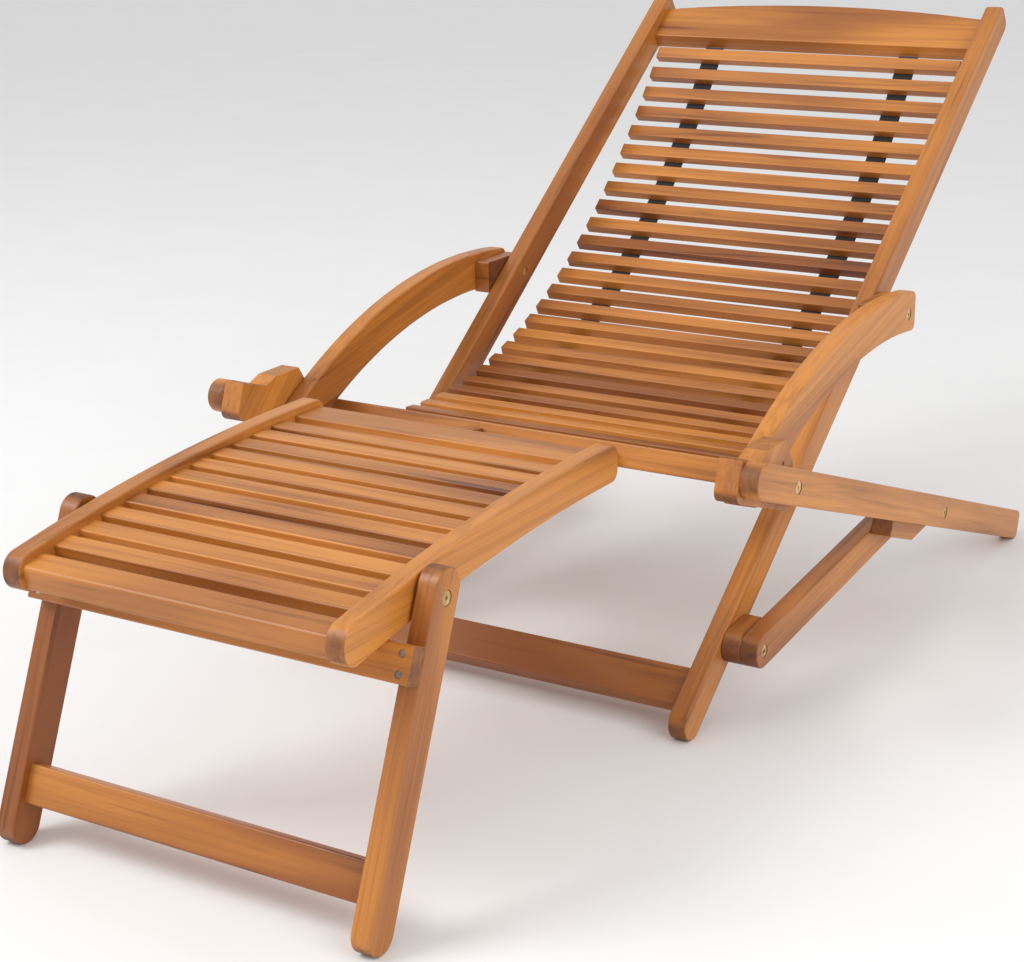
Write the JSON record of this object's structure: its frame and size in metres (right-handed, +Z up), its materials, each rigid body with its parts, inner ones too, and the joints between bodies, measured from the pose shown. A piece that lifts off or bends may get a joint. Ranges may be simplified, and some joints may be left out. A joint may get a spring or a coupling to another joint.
{
  "type": "folding deck chair",
  "caption": "Folding deck chair in oiled hardwood, with a slatted roll seat on webbing, curved armrests and a lift-off slatted footrest on folding legs.",
  "frame": {"origin": "on the floor, on the centre plane, at the middle of the open chair's length", "axes": "+Z up, +Y from the footrest towards the headrail, +X to the left of someone sitting in the chair"},
  "size_m": [0.72, 1.5226, 0.724],
  "materials": {
    "acacia": "satin",
    "webbing": "matte",
    "brass": "satin",
    "zinc": "satin"
  },
  "bodies": {
    "seat_frame": {"seat_rail_right": "acacia", "seat_rail_left": "acacia", "seat_front_bar": "acacia", "armrest_cheeks": "acacia", "strut_cleats": "acacia", "seat_rail_bolts": "brass", "seat_straps": "webbing", "roll_slat_19": "acacia", "roll_slat_20": "acacia", "roll_slat_21": "acacia", "roll_slat_22": "acacia", "roll_slat_23": "acacia", "roll_slat_24": "acacia", "roll_slat_25": "acacia", "roll_slat_26": "acacia"},
    "back_frame": {"back_rail_right": "acacia", "back_rail_left": "acacia", "headrail": "acacia", "back_bar": "acacia", "back_straps": "webbing", "roll_slat_01": "acacia", "roll_slat_02": "acacia", "roll_slat_03": "acacia", "roll_slat_04": "acacia", "roll_slat_05": "acacia", "roll_slat_06": "acacia", "roll_slat_07": "acacia", "roll_slat_08": "acacia", "roll_slat_09": "acacia", "roll_slat_10": "acacia", "roll_slat_11": "acacia", "roll_slat_12": "acacia", "roll_slat_13": "acacia", "roll_slat_14": "acacia", "roll_slat_15": "acacia", "roll_slat_16": "acacia", "roll_slat_17": "acacia", "roll_slat_18": "acacia"},
    "armrests": {"armrest_right": "acacia", "armrest_left": "acacia", "armrest_spacers": "acacia", "armrest_bolts": "brass"},
    "struts": {"strut_right": "acacia", "strut_left": "acacia", "strut_blocks": "acacia", "strut_bolts": "brass"},
    "footrest": {"footrest_rail_right": "acacia", "footrest_rail_left": "acacia", "footrest_front_rail": "acacia", "footrest_rear_rail": "acacia", "footrest_slats": "acacia", "footrest_tongues": "acacia"},
    "footrest_legs": {"footrest_leg_right": "acacia", "footrest_leg_left": "acacia", "leg_bar": "acacia", "stop_bar": "acacia", "stop_bar_screws": "zinc", "footrest_leg_bolts": "brass"}
  },
  "joints": [
    {"name": "back_fold", "type": "hinge", "parent": "armrests", "child": "back_frame", "pos_m": [0, 0.30788, 0.38586], "axis": [1, 0, 0], "range_deg": [0, 110]},
    {"name": "armrest_tilt", "type": "hinge", "parent": "seat_frame", "child": "armrests", "pos_m": [0, -0.1352, 0.29314], "axis": [1, 0, 0], "range_deg": [-7, 0]},
    {"name": "strut_swing", "type": "hinge", "parent": "seat_frame", "child": "struts", "pos_m": [0, 0.33626, 0.12665], "axis": [1, 0, 0], "range_deg": [0, 155.2]},
    {"name": "footrest_pull", "type": "slide", "parent": "seat_frame", "child": "footrest", "axis": [0, -1, 0], "range_m": [0, 0.08]},
    {"name": "footrest_legs_fold", "type": "hinge", "parent": "footrest", "child": "footrest_legs", "pos_m": [0, -0.62118, 0.305], "axis": [1, 0, 0], "range_deg": [0, 105]}
  ],
  "couplings": [
    {"joint": "armrest_tilt", "follows": "back_fold", "ratio": -0.0636},
    {"joint": "strut_swing", "follows": "back_fold", "ratio": 1.41}
  ]
}
